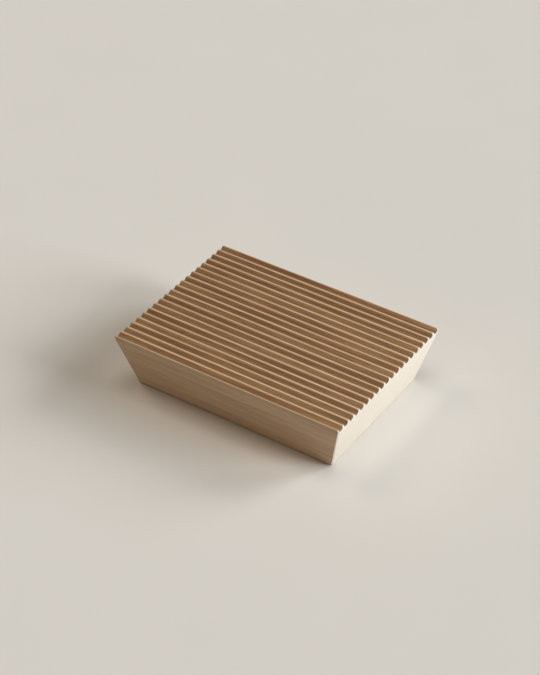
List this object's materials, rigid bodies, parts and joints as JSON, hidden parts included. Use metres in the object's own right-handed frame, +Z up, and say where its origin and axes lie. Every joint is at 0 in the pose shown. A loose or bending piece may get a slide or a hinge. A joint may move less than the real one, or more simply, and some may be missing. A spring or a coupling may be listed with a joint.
{
  "type": "soap dish",
  "caption": "Solid wood soap dish: a block with sides that lean in to a smaller base and a fluted top that drains through both ends.",
  "frame": {"origin": "middle of the flat underside", "axes": "+X along the flutes, the long way of the block; +Y across the flutes; +Z up"},
  "size_m": [0.125, 0.09, 0.03],
  "materials": {
    "wood": "fine sanded, unvarnished"
  },
  "bodies": {
    "root": {"dish_block": "wood"}
  },
  "joints": []
}
